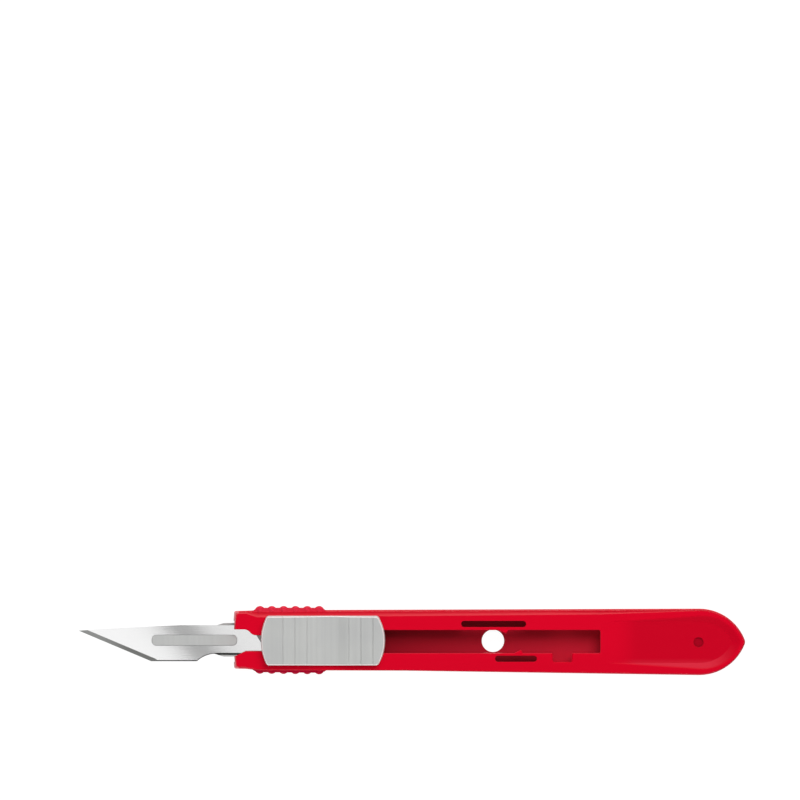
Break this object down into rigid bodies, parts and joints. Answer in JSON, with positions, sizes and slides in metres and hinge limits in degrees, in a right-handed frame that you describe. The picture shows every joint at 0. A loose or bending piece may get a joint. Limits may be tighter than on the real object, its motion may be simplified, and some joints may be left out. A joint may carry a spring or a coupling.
{
  "type": "retractable disposable scalpel",
  "caption": "Slim moulded handle with a thumb slider that draws a short, acutely pointed surgical blade back into the nose.",
  "frame": {"origin": "on the flat back face, below the line that the thumb slider runs along, half way along the overall length with the blade out", "axes": "+X along the slide towards the butt, +Y towards the spine of the blade, +Z out of the face that carries the thumb pad"},
  "size_m": [0.1482, 0.0154, 0.0086],
  "materials": {
    "handle_plastic": "moulded, semi-gloss",
    "slider_plastic": "moulded, fine satin",
    "blade_steel": "rolled and ground, bright"
  },
  "bodies": {
    "handle": {"handle": "handle_plastic"},
    "slider": {"thumb_slider": "slider_plastic", "blade": "blade_steel"}
  },
  "joints": [
    {"name": "blade_slide", "type": "slide", "parent": "handle", "child": "slider", "axis": [1, 0, 0], "range_m": [0, 0.045]}
  ]
}
